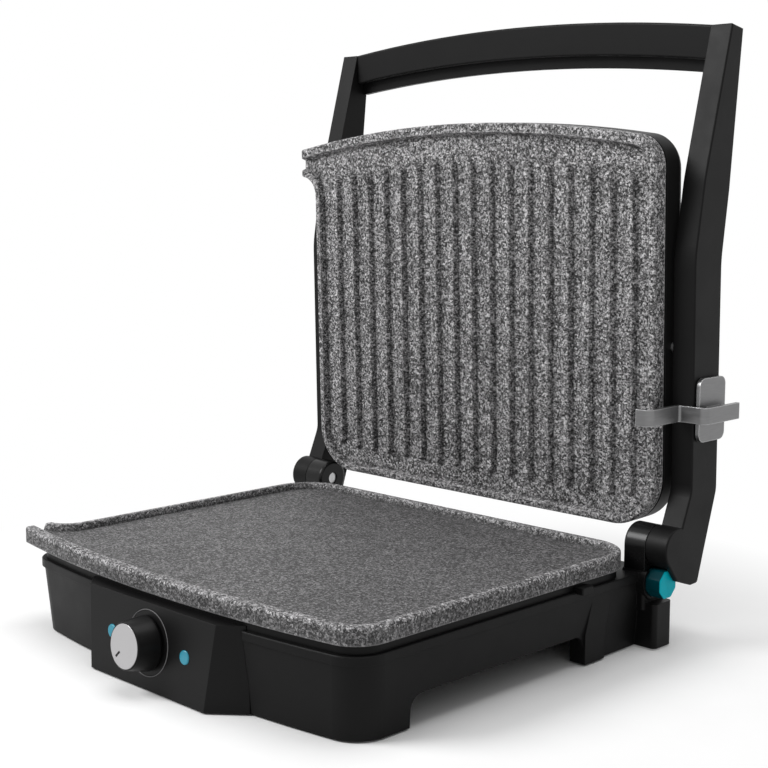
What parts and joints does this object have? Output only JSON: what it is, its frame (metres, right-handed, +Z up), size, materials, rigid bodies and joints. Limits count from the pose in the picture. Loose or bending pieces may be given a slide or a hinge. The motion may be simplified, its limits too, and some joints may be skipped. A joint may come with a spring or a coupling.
{
  "type": "electric contact grill",
  "caption": "Countertop electric contact grill with a hinged ribbed lid plate, a flat lower plate, a side latch, an arched handle and a thermostat knob.",
  "frame": {"origin": "on the table, half way between the lower plate's back edge and the middle of its arched front, on the centre plane", "axes": "+X to the right of a person facing the knob's side, -Y towards that person, +Z up"},
  "size_m": [0.349, 0.3416, 0.3862],
  "materials": {
    "black_plastic": "satin",
    "panel_plastic": "satin",
    "gloss_black": "semi-gloss",
    "knob_plastic": "satin",
    "stone_coating": "speckled non-stick coating",
    "pan_steel": "aluminised",
    "element_steel": "oxidised",
    "screw_steel": "zinc plated",
    "latch_steel": "satin grey",
    "disc_metal": "satin silver",
    "teal_plastic": "semi-gloss",
    "lamp_lens": "gloss",
    "mark_black": "matt",
    "terminal_ceramic": "matt",
    "foot_rubber": "matt"
  },
  "bodies": {
    "base": {"base_housing": "black_plastic", "control_panel": "panel_plastic", "base_bottom_cover": "black_plastic", "bottom_cover_screws": "screw_steel", "rubber_feet_front": "foot_rubber", "rubber_feet_rear": "foot_rubber", "lower_reflector": "pan_steel", "lower_heating_element": "element_steel", "lower_plate_screws": "screw_steel", "lower_plate_frame": "black_plastic", "lower_plate": "stone_coating", "lamp_left": "lamp_lens", "lamp_right": "lamp_lens", "thermostat": "element_steel", "terminal_block": "terminal_ceramic", "cord_gland": "foot_rubber", "hinge_knuckle_right": "gloss_black", "hinge_knuckle_left": "gloss_black", "hinge_pins": "screw_steel", "latch_catch": "black_plastic", "button_spring": "screw_steel"},
    "button": {"release_button": "teal_plastic"},
    "knob": {"knob": "knob_plastic", "knob_disc": "disc_metal", "knob_pointer": "mark_black"},
    "arms": {"arm_right": "black_plastic", "arm_left": "black_plastic", "handle_front": "black_plastic", "handle_rear": "black_plastic", "handle_screws": "screw_steel", "lid_pivot_pins": "screw_steel"},
    "lid": {"lid_cover": "black_plastic", "upper_plate": "stone_coating", "upper_reflector": "pan_steel", "upper_heating_element": "element_steel", "upper_plate_screws": "screw_steel"},
    "latch": {"latch_strip": "latch_steel", "latch_pad": "latch_steel", "latch_slider": "black_plastic"}
  },
  "joints": [
    {"name": "lid_hinge", "type": "hinge", "parent": "base", "child": "arms", "pos_m": [0, 0.1361, 0.0628], "axis": [1, 0, 0], "range_deg": [-91, 88.5]},
    {"name": "lid_tilt", "type": "hinge", "parent": "arms", "child": "lid", "pos_m": [0, 0.15265, 0.18327], "axis": [-1, 0, 0], "range_deg": [-4, 0]},
    {"name": "latch_slide", "type": "slide", "parent": "arms", "child": "latch", "axis": [0, 0, 1], "range_m": [-0.01, 0]},
    {"name": "button_press", "type": "slide", "parent": "base", "child": "button", "axis": [-1, 0, 0], "range_m": [0, 0.004], "stiffness_N_per_m": 400, "springref_m": -0.002, "deforming": ["button_spring"]},
    {"name": "knob_turn", "type": "hinge", "parent": "base", "child": "knob", "pos_m": [0, -0.13347, 0.027], "axis": [0, -0.9954, 0.0963], "range_deg": [-270, 0]}
  ]
}
